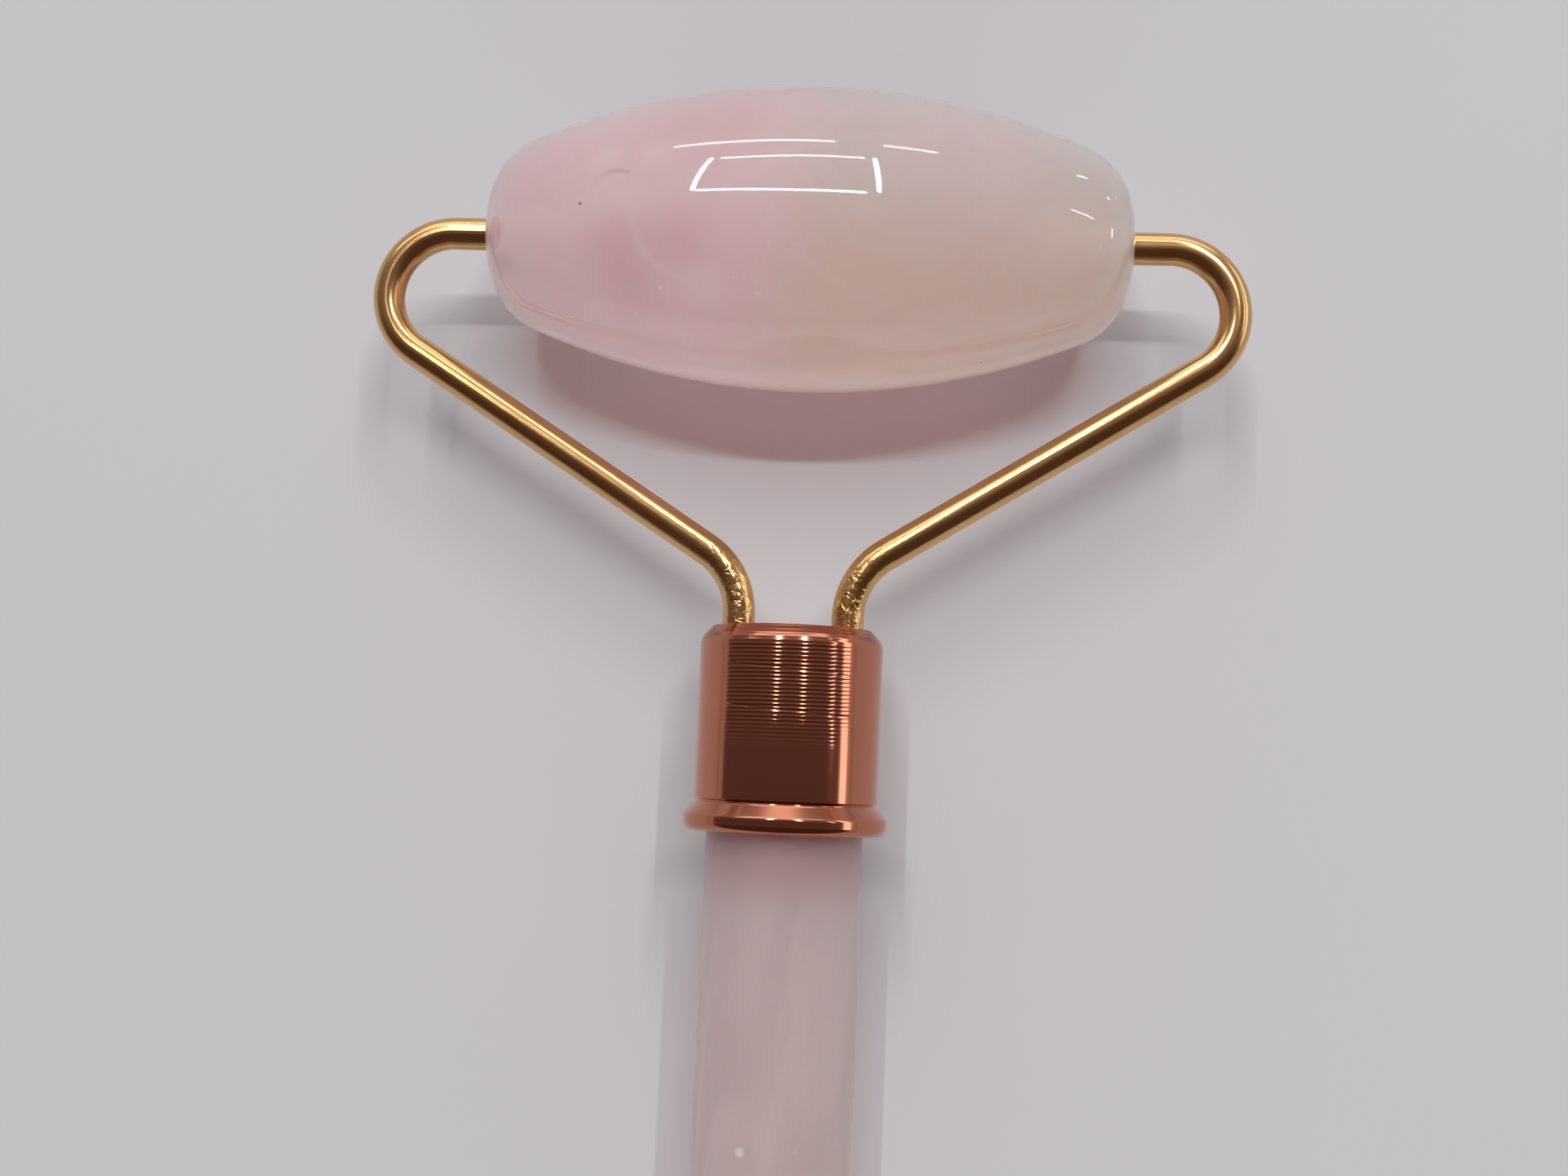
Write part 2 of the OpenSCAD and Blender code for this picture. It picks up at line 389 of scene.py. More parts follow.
@dataclass(frozen=True)
class RoseQuartz:
    """Rose quartz, ground and polished: a milky pink stone that light soaks into.

    The eye sees an even glow with soft clouds, a drift from pink to cream, thin veils of healed
    cracks, a dark grain or two, and a wet gloss on top. Light scatters in it, which a rough
    inside under a smooth clear skin gives.

    Attributes:
        name: Name of the material.
        centre: Middle of the stone in metres, where its pattern is centred.
        pink: Colour of the main stone.
        cream: Colour that it drifts to, kept darker than the tan as painted shade on the far side.
        drift: Drift for each millimetre from the centre.
        drift_span: Drift at which the cream starts and at which it is full.
        tan: Lighter colour that the cream turns to towards the handle: the stone's own tan and
            painted light.
        veil_share: Share of pale veils.
        veil_run: How many times longer the veils are along y than across.
        gloss: Strength of its polish.
        sheen: Strength of the pale glow at its rim.
        clouds: Soft patches, some of them painted shade, painted glints and a painted view of the
            bore.
        cracks: Thin sheets.
    """

    name: str
    centre: tuple[float, float, float]
    pink: str = "#efd5d9"
    cream: str = "#d7cfcb"
    drift: tuple[float, float, float] = (0.12, -0.035, 0.0)
    drift_span: tuple[float, float] = (-0.5, 0.4)
    tan: str = "#ead6c9"
    veil_share: float = 0.14
    veil_run: float = 1.0
    gloss: float = 1.0
    sheen: float = 0.1
    clouds: tuple[Cloud, ...] = ()
    cracks: tuple[HealedCrack, ...] = ()

    CLOUD_SIZE = 9.0
    VEIL_SIZE = 6.5
    VEIL_TINT = "#f6ebe9"
    FROSTING = 0.6
    QUARTZ_IOR = 1.54
    GLOW_DEPTH = 8.0
    # Heights along y where the cream turns to the tan: own colour, and painted shade on the far
    # side
    TAN_AND_SHADE_SPAN = (5.0, -5.0)
    LIT_THROUGH = "#861f12"
    INSIDE = "#f0e2e0"
    CLEARNESS = 0.4
    GLOW_SHARES = (1.0, 0.72, 0.66)
    SHEEN_ROUGHNESS = 0.5
    POLISH_ROUGHNESS = 0.03
    # How far from its middle height the veils' noise still shows
    VEIL_WIDTH = 0.09
    # Waves of a crack for each millimetre
    WAVER_SCALE = 0.55
    # Cosines of the turn from the middle of a crack where it ends and where it is full
    PATCH_SPAN = (0.62, 0.95)

    def material(self) -> bpy.types.Material:
        """Makes the node material.

        Lamps shine through the stone in LIT_THROUGH, and light its inside in INSIDE.

        Returns:
            The material.
        """
        material, tree = new_material(self.name)
        place = add_node(
            tree, "Mapping",
            {
                "Vector": add_node(tree, "TexCoord").outputs["Object"],
                "Location": [-value / MM for value in self.centre],
                "Scale": (1 / MM,) * 3,
            },
        ).outputs["Vector"]
        colour = self.veils(tree, place, self.ground(tree, place))
        for cloud in self.clouds:
            colour = self.spot(tree, place, colour, cloud)
        for crack in self.cracks:
            colour = self.sheet(tree, place, colour, crack)
        shader = add_node(
            tree, "BsdfPrincipled",
            {
                "Base Color": colour,
                "Roughness": self.FROSTING,
                "IOR": self.QUARTZ_IOR,
                "Transmission Weight": self.CLEARNESS,
                "Subsurface Weight": 1.0,
                "Subsurface Radius": self.GLOW_SHARES,
                "Subsurface Scale": self.GLOW_DEPTH * MM,
                "Sheen Weight": self.sheen,
                "Sheen Roughness": self.SHEEN_ROUGHNESS,
                "Coat Weight": self.gloss,
                "Coat Roughness": self.POLISH_ROUGHNESS,
                "Coat IOR": self.QUARTZ_IOR,
            },
        )
        way = add_node(
            tree, "Mix",
            {
                0: add_node(tree, "NewGeometry").outputs["Backfacing"],
                MIX_A: linear(self.LIT_THROUGH),
                MIX_B: linear(self.INSIDE),
            },
            data_type="RGBA",
        ).outputs[MIX_RESULT]
        through = add_node(tree, "BsdfTransparent", {"Color": way})
        lit = add_node(
            tree, "MixShader",
            {
                0: add_node(tree, "LightPath").outputs["Is Shadow Ray"],
                1: shader.outputs["BSDF"],
                2: through.outputs["BSDF"],
            },
        )
        add_node(tree, "OutputMaterial", {"Surface": lit.outputs["Shader"]})
        return material

    def ground(
        self, tree: bpy.types.NodeTree, place: bpy.types.NodeSocket
    ) -> bpy.types.NodeSocket:
        """Lets the stone drift from pink to cream, with a wavering border, and the cream to tan
        towards the handle, which paints shade on the far side.

        Args:
            tree: Node tree that takes the nodes.
            place: Millimetres from the stone's centre.

        Returns:
            The ground colour.
        """
        waver = add_node(
            tree, "TexNoise",
            {"Vector": place, "Scale": 1 / self.CLOUD_SIZE, "Detail": 3.0, "Distortion": 0.5},
        ).outputs["Fac"]
        along = add_node(
            tree, "VectorMath", {0: place, 1: self.drift}, operation="DOT_PRODUCT"
        ).outputs["Value"]
        low, high = self.drift_span
        drifted = add_node(
            tree, "MapRange",
            {
                "Value": add_node(tree, "Math", {0: along, 1: waver}, operation="ADD").outputs[0],
                "From Min": low + 0.5,
                "From Max": high + 0.5,
            },
            interpolation_type="SMOOTHSTEP",
        ).outputs["Result"]
        # Painted shade: the far side darker, the side towards the handle lighter and tan
        low, high = self.TAN_AND_SHADE_SPAN
        tan_share = add_node(
            tree, "MapRange",
            {
                "Value": add_node(tree, "SeparateXYZ", {0: place}).outputs["Y"],
                "From Min": low,
                "From Max": high,
            },
            interpolation_type="SMOOTHSTEP",
        ).outputs["Result"]
        cream_and_tan = add_node(
            tree, "Mix",
            {0: tan_share, MIX_A: linear(self.cream), MIX_B: linear(self.tan)},
            data_type="RGBA",
        ).outputs[MIX_RESULT]
        return add_node(
            tree, "Mix", {0: drifted, MIX_A: linear(self.pink), MIX_B: cream_and_tan}, data_type="RGBA"
        ).outputs[MIX_RESULT]

    def veils(
        self, tree: bpy.types.NodeTree, place: bpy.types.NodeSocket, under: bpy.types.NodeSocket
    ) -> bpy.types.NodeSocket:
        """Draws faint pale veils through the stone, where a warped noise crosses its middle height.

        Args:
            tree: Node tree that takes the nodes.
            place: Millimetres from the stone's centre.
            under: Colour of the clear stone.

        Returns:
            The mixed colour.
        """
        drawn = add_node(
            tree, "VectorMath", {0: place, 1: (1.0, 1 / self.veil_run, 1.0)}, operation="MULTIPLY"
        ).outputs["Vector"]
        fold = add_node(
            tree, "TexNoise",
            {"Vector": drawn, "Scale": 1 / self.VEIL_SIZE, "Detail": 3.0, "Distortion": 1.3},
        ).outputs["Fac"]
        off_middle = add_node(
            tree, "Math",
            {0: add_node(tree, "Math", {0: fold, 1: 0.5}, operation="SUBTRACT").outputs[0]},
            operation="ABSOLUTE",
        ).outputs[0]
        share = add_node(
            tree, "MapRange",
            {
                "Value": off_middle,
                "From Min": self.VEIL_WIDTH,
                "From Max": 0.0,
                "To Max": self.veil_share,
            },
            interpolation_type="SMOOTHSTEP",
        ).outputs["Result"]
        return add_node(
            tree, "Mix", {0: share, MIX_A: under, MIX_B: linear(self.VEIL_TINT)}, data_type="RGBA"
        ).outputs[MIX_RESULT]

    def spot(
        self,
        tree: bpy.types.NodeTree,
        place: bpy.types.NodeSocket,
        under: bpy.types.NodeSocket,
        cloud: Cloud,
    ) -> bpy.types.NodeSocket:
        """Lays a cloud in the stone: its share falls smoothly from its core to its reach.

        Args:
            tree: Node tree that takes the nodes.
            place: Millimetres from the stone's centre.
            under: Colour round the cloud.
            cloud: The cloud.

        Returns:
            The mixed colour.
        """
        away = add_node(
            tree, "VectorMath", {0: place, 1: cloud.middle}, operation="DISTANCE"
        ).outputs["Value"]
        share = add_node(
            tree, "MapRange",
            {
                "Value": away,
                "From Min": cloud.reach,
                "From Max": cloud.reach * cloud.core,
                "To Max": cloud.share,
            },
            interpolation_type="SMOOTHSTEP",
        ).outputs["Result"]
        return add_node(
            tree, "Mix", {0: share, MIX_A: under, MIX_B: linear(cloud.tint)}, data_type="RGBA"
        ).outputs[MIX_RESULT]

    def sheet(
        self,
        tree: bpy.types.NodeTree,
        place: bpy.types.NodeSocket,
        under: bpy.types.NodeSocket,
        crack: HealedCrack,
    ) -> bpy.types.NodeSocket:
        """Lays a healed crack in the stone.

        Its share falls with the distance from the ball's skin, and with the turn away from the
        middle of the patch. A little noise in the place makes the sheet waver.

        Args:
            tree: Node tree that takes the nodes.
            place: Millimetres from the stone's centre.
            under: Colour round the crack.
            crack: The crack.

        Returns:
            The mixed colour.
        """
        waver = add_node(
            tree, "TexNoise", {"Vector": place, "Scale": self.WAVER_SCALE, "Detail": 2.0}
        ).outputs["Color"]
        shifted = add_node(
            tree, "VectorMath",
            {
                0: add_node(
                    tree, "VectorMath", {0: place, 1: crack.middle}, operation="SUBTRACT"
                ).outputs["Vector"],
                1: add_node(
                    tree, "VectorMath", {0: waver, 1: (0.5,) * 3}, operation="SUBTRACT"
                ).outputs["Vector"],
            },
            operation="ADD",
        ).outputs["Vector"]
        reach = add_node(tree, "VectorMath", {0: shifted}, operation="LENGTH").outputs["Value"]
        past = add_node(tree, "Math", {0: reach, 1: crack.radius}, operation="SUBTRACT").outputs[0]
        off_skin = add_node(tree, "Math", {0: past}, operation="ABSOLUTE").outputs[0]
        line = add_node(
            tree, "MapRange",
            {"Value": off_skin, "From Min": crack.width, "From Max": 0.0, "To Max": crack.share},
            interpolation_type="SMOOTHSTEP",
        ).outputs["Result"]
        turned = add_node(
            tree, "VectorMath",
            {
                0: add_node(
                    tree, "VectorMath", {0: shifted}, operation="NORMALIZE"
                ).outputs["Vector"],
                1: crack.towards,
            },
            operation="DOT_PRODUCT",
        ).outputs["Value"]
        low, high = self.PATCH_SPAN
        patch = add_node(
            tree, "MapRange",
            {"Value": turned, "From Min": low, "From Max": high},
            interpolation_type="SMOOTHSTEP",
        ).outputs["Result"]
        share = add_node(tree, "Math", {0: line, 1: patch}, operation="MULTIPLY").outputs[0]
        return add_node(
            tree, "Mix", {0: share, MIX_A: under, MIX_B: linear(crack.tint)}, data_type="RGBA"
        ).outputs[MIX_RESULT]


@dataclass(frozen=True)
class GoldPlatedWire:
    """Steel wire, drawn, bent and plated with gold: bright, with fine lines along it.

    The eye sees a mirror drawn out along the wire, a little uneven, and scuffed by the pliers
    where the wire goes into the collar.

    Attributes:
        name: Name of the material.
        gold: Colour of the plating.
        tawny: Colour that it wavers to.
        line_width: Width of the drawing lines, in millimetres.
        line_length: Their length.
        scuff_size: Size of the scuffs.
        scuffs_full: Length from the foot of the leg up to which the scuffs are full.
        scuffs_end: Length at which they have faded out.
    """

    name: str = "gold_plated_drawn_wire"
    gold: str = "#eec48b"
    tawny: str = "#d2a364"
    line_width: float = 0.09
    line_length: float = 14.0
    scuff_size: float = 0.6
    scuffs_full: float = 6.5
    scuffs_end: float = 12.5

    # Changes of tone for each millimetre
    TONE_SCALE = 0.35
    SMOOTHEST, ROUGHEST = 0.13, 0.28
    LINE_STRENGTH = 0.4
    LINE_HEIGHT = 0.02
    SCUFF_HEIGHT = 0.1

    def material(self) -> bpy.types.Material:
        """Makes the node material, on the wire's own straightened coordinates.

        Returns:
            The material.
        """
        material, tree = new_material(self.name)
        drawn = add_node(tree, "Attribute", attribute_name="flow").outputs["Vector"]
        stretch = (1 / self.line_length, 1 / self.line_width, 1 / self.line_width)
        lines = add_node(
            tree, "TexNoise",
            {
                "Vector": add_node(
                    tree, "VectorMath", {0: drawn, 1: stretch}, operation="MULTIPLY"
                ).outputs["Vector"],
                "Scale": 1.0,
                "Detail": 2.0,
            },
        ).outputs["Fac"]
        tone = add_node(
            tree, "TexNoise", {"Vector": drawn, "Scale": self.TONE_SCALE, "Detail": 2.0}
        ).outputs["Fac"]
        colour = add_node(
            tree, "Mix",
            {0: tone, MIX_A: linear(self.gold), MIX_B: linear(self.tawny)},
            data_type="RGBA",
        ).outputs[MIX_RESULT]
        rough = add_node(
            tree, "MapRange",
            {
                "Value": lines,
                "From Min": NOISE_LOW,
                "From Max": NOISE_HIGH,
                "To Min": self.SMOOTHEST,
                "To Max": self.ROUGHEST,
            },
        ).outputs["Result"]
        bump = add_node(
            tree, "Bump",
            {"Height": lines, "Strength": self.LINE_STRENGTH, "Distance": self.LINE_HEIGHT * MM},
        ).outputs["Normal"]
        scuffs = add_node(
            tree, "TexNoise",
            {"Vector": drawn, "Scale": 1 / self.scuff_size, "Detail": 3.0, "Distortion": 0.8},
        ).outputs["Fac"]
        near_collar = add_node(
            tree, "MapRange",
            {
                "Value": add_node(tree, "SeparateXYZ", {0: drawn}).outputs["X"],
                "From Min": self.scuffs_end,
                "From Max": self.scuffs_full,
            },
        ).outputs["Result"]
        scuffed = add_node(
            tree, "Bump",
            {
                "Height": scuffs,
                "Strength": near_collar,
                "Distance": self.SCUFF_HEIGHT * MM,
                "Normal": bump,
            },
        ).outputs["Normal"]
        shader = add_node(
            tree, "BsdfPrincipled",
            {"Base Color": colour, "Metallic": 1.0, "Roughness": rough, "Normal": scuffed},
        )
        add_node(tree, "OutputMaterial", {"Surface": shader.outputs["BSDF"]})
        return material


@dataclass(frozen=True)
class AnodisedAluminium:
    """Aluminium, turned on a lathe and anodised rose gold.

    The eye sees a satin copper pink, drawn round the piece by fine turning lines, with small
    dull flecks.

    Attributes:
        name: Name of the material.
        rose: Colour of the anodising.
        deep: Colour of its flecks.
        line_width: Width of the finest turning lines, in millimetres.
        fleck_size: Size of the flecks.
    """

    name: str = "rose_gold_anodised_aluminium"
    rose: str = "#cf8b70"
    deep: str = "#b97258"
    line_width: float = 0.12
    fleck_size: float = 1.1

    # Changes of a turning line for each millimetre round the piece
    ROUND_SCALE = 0.25
    SMOOTHEST, ROUGHEST = 0.09, 0.15
    LINE_STRENGTH = 0.05
    LINE_HEIGHT = 0.02

    def material(self) -> bpy.types.Material:
        """Makes the node material, on the collar's own coordinates.

        Returns:
            The material.
        """
        material, tree = new_material(self.name)
        turned = add_node(tree, "Attribute", attribute_name="flow").outputs["Vector"]
        stretch = (self.ROUND_SCALE, 1 / self.line_width, self.ROUND_SCALE)
        lines = add_node(
            tree, "TexNoise",
            {
                "Vector": add_node(
                    tree, "VectorMath", {0: turned, 1: stretch}, operation="MULTIPLY"
                ).outputs["Vector"],
                "Scale": 1.0,
                "Detail": 3.0,
            },
        ).outputs["Fac"]
        fleck = add_node(
            tree, "TexNoise", {"Vector": turned, "Scale": 1 / self.fleck_size, "Detail": 4.0}
        ).outputs["Fac"]
        colour = add_node(
            tree, "Mix",
            {0: fleck, MIX_A: linear(self.rose), MIX_B: linear(self.deep)},
            data_type="RGBA",
        ).outputs[MIX_RESULT]
        rough = add_node(
            tree, "MapRange",
            {
                "Value": fleck,
                "From Min": NOISE_LOW,
                "From Max": NOISE_HIGH,
                "To Min": self.SMOOTHEST,
                "To Max": self.ROUGHEST,
            },
        ).outputs["Result"]
        bump = add_node(
            tree, "Bump",
            {"Height": lines, "Strength": self.LINE_STRENGTH, "Distance": self.LINE_HEIGHT * MM},
        ).outputs["Normal"]
        shader = add_node(
            tree, "BsdfPrincipled",
            {"Base Color": colour, "Metallic": 1.0, "Roughness": rough, "Normal": bump},
        )
        add_node(tree, "OutputMaterial", {"Surface": shader.outputs["BSDF"]})
        return material


@dataclass(frozen=True)
class Mottled:
    """A plain matt or satin material whose tone and gloss waver a little.

    It serves what stays plain: the bushes of moulded acetal, the adhesive of cast epoxy resin
    and the table of painted board.

    Attributes:
        name: Name of the material.
        light: Lighter tone.
        dark: Darker tone.
        grain: Size of the mottling, in millimetres.
        roughness: Lowest and highest roughness.
    """

    name: str
    light: str
    dark: str
    grain: float
    roughness: tuple[float, float]

    def material(self) -> bpy.types.Material:
        """Makes the node material.

        Returns:
            The material.
        """
        material, tree = new_material(self.name)
        tone = add_node(
            tree, "TexNoise",
            {
                "Vector": add_node(tree, "TexCoord").outputs["Object"],
                "Scale": 1 / (self.grain * MM),
                "Detail": 3.0,
            },
        ).outputs["Fac"]
        colour = add_node(
            tree, "Mix",
            {0: tone, MIX_A: linear(self.light), MIX_B: linear(self.dark)},
            data_type="RGBA",
        ).outputs[MIX_RESULT]
        low, high = self.roughness
        rough = add_node(
            tree, "MapRange", {"Value": tone, "To Min": low, "To Max": high}
        ).outputs["Result"]
        shader = add_node(tree, "BsdfPrincipled", {"Base Color": colour, "Roughness": rough})
        add_node(tree, "OutputMaterial", {"Surface": shader.outputs["BSDF"]})
        return material


# Tints of the marks in the stones, some of them painted shade, painted glints and a painted view of
# the bore
ROSY, BLUSH, PALE, GLINT_WHITE = "#e0b2ba", "#efd5da", "#f8efed", "#ffffff"
GRAIN, MAUVE_AND_SHADE, BORE_SEEN_THROUGH, COPPER_SHADE = "#4d333c", "#b98c90", "#d6a398", "#d19fa2"

# Marks of the large stone as the photograph shows them, in millimetres from its centre
LARGE_STONE_CLOUDS = (
    Cloud((-10.6, -2.9, 7.5), 3.6, ROSY, 0.5),
    Cloud((-7.0, -2.3, 8.5), 3.0, ROSY, 0.4),
    Cloud((-9.9, -5.2, 6.5), 3.0, ROSY, 0.3),
    Cloud((-16.0, 3.0, 5.0), 7.0, ROSY, 0.25),
    Cloud((-8.0, 5.5, 7.0), 7.0, ROSY, 0.2),
    # Painted shade: darkens the top of the stone, which the lamps light most
    Cloud((-4.0, 7.5, 6.0), 9.0, MAUVE_AND_SHADE, 0.2),
    Cloud((9.0, 4.5, 7.5), 10.0, BLUSH, 0.5),
    Cloud((-11.7, 2.6, 7.4), 1.9, PALE, 0.3),
    Cloud((-8.6, 2.8, 8.1), 1.8, PALE, 0.25),
    Cloud((-10.6, 0.0, 8.1), 2.2, PALE, 0.25),
    Cloud((-5.3, -5.1, 7.5), 2.0, PALE, 0.25),
    # Painted view of the bore and wire seen through the stone's end, with painted shade at its edge
    # and below it
    Cloud((-18.92, -0.92, 4.62), 0.78, BORE_SEEN_THROUGH, 0.55, core=0.85),
    Cloud((-18.92, -1.4, 4.48), 0.78, BORE_SEEN_THROUGH, 0.55, core=0.85),
    Cloud((-18.36, -1.21, 5.06), 0.6, MAUVE_AND_SHADE, 0.3),
    Cloud((-18.2, -2.95, 4.5), 1.3, MAUVE_AND_SHADE, 0.3),
    Cloud((-13.15, -0.11, 7.41), 0.17, GRAIN, 1.0),
    Cloud((10.92, -7.82, 1.86), 0.12, GRAIN, 0.7),
    # Painted glints: bright specks where light catches tiny fractures, and on the right end
    Cloud((-2.31, -5.35, 7.65), 0.26, PALE, 0.9),
    Cloud((-1.67, -2.65, 8.98), 0.16, PALE, 0.7),
    Cloud((-3.74, -4.56, 8.04), 0.16, PALE, 0.7),
    Cloud((-8.15, -5.01, 7.05), 0.24, PALE, 0.8),
    Cloud((-9.76, -6.23, 5.5), 0.2, PALE, 0.8),
    Cloud((18.51, 1.76, 4.76), 0.2, PALE, 1.0),
    Cloud((17.65, -1.51, 5.5), 0.18, PALE, 0.7),
)
LARGE_STONE_CRACKS = (
    HealedCrack((-5.93, -0.5, 8.0), 4.05, (-0.716, -0.698, 0.0), 0.45, PALE, 0.3),
    HealedCrack((-10.9, 0.45, 7.9), 1.3, (-0.1, 0.99, 0.1), 0.22, MAUVE_AND_SHADE, 0.4),
    HealedCrack((-9.6, 1.2, 7.8), 3.0, (-0.98, -0.2, 0.0), 0.5, PALE, 0.12),
    HealedCrack((-14.38, -4.77, 4.93), 1.7, (-0.15, -0.69, -0.71), 0.1, PALE, 0.75),
    HealedCrack((8.0, 8.0, 10.0), 16.0, (0.2, -0.85, -0.45), 0.08, PALE, 0.2),
)

# Marks of the small stone, which the photograph does not show: the same kinds, placed freely
SMALL_STONE_CLOUDS = (
    Cloud((4.5, 1.5, 5.5), 3.2, ROSY, 0.45),
    Cloud((-2.0, -3.5, 5.5), 3.5, ROSY, 0.3),
    Cloud((-4.0, 3.0, 4.5), 2.2, PALE, 0.3),
    Cloud((1.0, 4.5, -5.0), 3.0, ROSY, 0.35),
    Cloud((3.1, -3.0, 5.6), 0.15, GRAIN, 0.9),
    # A painted glint: a bright speck where light catches a tiny fracture
    Cloud((-5.2, -2.2, 4.7), 0.2, PALE, 0.8),
)
SMALL_STONE_CRACKS = (
    HealedCrack((1.5, 2.0, 5.0), 3.2, (-0.7, 0.3, 0.65), 0.4, PALE, 0.3),
    HealedCrack((-3.0, -6.0, 8.0), 7.0, (0.4, 0.8, -0.45), 0.1, PALE, 0.3),
)

# Marks of the handle: painted shade, tinted by the copper collar's reflected light, beside each
# collar, and two painted glints where light catches small flaws in its skin
HANDLE_CLOUDS = (
    Cloud((0.0, 26.7, 0.8), 7.0, COPPER_SHADE, 0.6, core=0.65),
    Cloud((0.0, -37.3, -0.3), 7.0, COPPER_SHADE, 0.6, core=0.65),
    Cloud((-1.45, 8.3, 4.85), 0.45, GLINT_WHITE, 1.0, core=0.5),
    Cloud((1.6, 8.5, 4.8), 0.4, GLINT_WHITE, 0.3),
)


# Clouds and cracks of each stone
MARKS = {
    End.LARGE: (LARGE_STONE_CLOUDS, LARGE_STONE_CRACKS),
    End.SMALL: (SMALL_STONE_CLOUDS, SMALL_STONE_CRACKS),
}


# Sub-assemblies

# Length, largest diameter and radius of the swelling side of each stone
STONES = {End.LARGE: (40.0, 18.8, 44.5), End.SMALL: (20.0, 14.4, 14.0)}
# Straight wire beside each stone, and radius of the bend next to it
YOKES = {End.LARGE: (2.3, 4.1), End.SMALL: (2.0, 3.2)}
# Height over the table that the handle's pattern is centred at
HANDLE_HEIGHT = 8.0


@dataclass(frozen=True)
class StoneRoller:
    """A barrel stone with a blind bore in each end.

    Attributes:
        place: The end that it belongs to.
        axis_height: From the collar's top to its axis.
        length: Its length.
        diameter: Its largest diameter.
        swell_radius: Radius of its swelling side.
        finish: Its stone.
    """

    place: EndFrame
    axis_height: float
    length: float
    diameter: float
    swell_radius: float
    finish: RoseQuartz

    END_RADIUS = 1.62
    BORE_RADIUS = 1.37
    BORE_LENGTH = 7.3
    FLOOR_RING = 0.4
    FLOOR_EDGE = 0.02
    WALL_START = 0.5
    LIP = 0.03
    AROUND = 240
    WALL_POINTS, CORNER_POINTS, SIDE_POINTS = 12, 48, 90
    POLISH_DEPTH = 0.006
    POLISH_LENGTH = 7.0
    POLISH_START, POLISH_RISE = 0.5, 2.0
    CREASE = 50

    def outline(self) -> np.ndarray:
        """Half outline from the middle of one bore's floor to the other's, as (x, radius).

        A flat end face of END_RADIUS leads by a tangent rounding to the swelling arc, whose
        centre lies below the axis. The rounding's radius follows from being tangent to both.

        Returns:
            Points as rows.
        """
        half, swell = self.length / 2, self.swell_radius
        centre = self.diameter / 2 - swell
        rise = self.END_RADIUS - centre
        rounding = (swell**2 - half**2 - rise**2) / (2 * (swell - half))
        meet = math.atan2(rise, half - rounding)
        floor, bore, edge = half - self.BORE_LENGTH, self.BORE_RADIUS, self.FLOOR_EDGE
        bottom = [(floor, self.FLOOR_RING), (floor, bore - edge), (floor + edge, bore)]
        depth = np.linspace(floor + self.WALL_START, half - self.LIP, self.WALL_POINTS)
        wall = np.stack([depth, np.full_like(depth, bore)], -1)
        lip = [(half, bore + self.LIP)]
        middle = (half - rounding, self.END_RADIUS)
        corner = arc_points(middle, rounding, 0.0, meet, self.CORNER_POINTS)
        side = arc_points((0.0, centre), swell, meet, math.pi / 2, self.SIDE_POINTS)[1:]
        right = np.concatenate([bottom, wall, lip, corner, side])
        left = right[-2::-1] * (-1, 1)
        return np.concatenate([right, left])

    def build(self) -> bpy.types.Object:
        """Turns the outline about x and lowers its skin by the unevenness of hand polishing.

        Returns:
            The stone's object.
        """
        x, radius = self.outline().T
        cos, sin = circle(self.AROUND)
        rings = np.stack(
            [
                np.broadcast_to(x[:, None], (len(x), self.AROUND)),
                radius[:, None] * cos,
                radius[:, None] * sin,
            ],
            -1,
        )
        above = radius - self.END_RADIUS - self.POLISH_START
        skin = np.clip(above / self.POLISH_RISE, 0, 1)[:, None]
        dip = self.POLISH_DEPTH * skin * (1 + polished_waves(rings, self.POLISH_LENGTH))
        rings[..., 1] -= dip * cos
        rings[..., 2] -= dip * sin
        tube = Tube(rings, rings)
        points = Tube.with_middles(rings) + (0, self.axis_height, 0)
        name = f"{self.place.end.value}_stone_roller"
        obj = add_mesh(name, self.place.place(points), tube, self.CREASE)
        self.dress(obj)
        return obj

    def dress(self, obj: bpy.types.Object) -> None:
        """Gives the stone its finish, its body, and leave for soft light to pass to the table."""
        end = self.place.end.value
        fit_piece(
            obj, self.finish.material(), f"{end}_roller_assembly", "roller_stone", f"{end}_roller"
        )
        obj.visible_diffuse = False


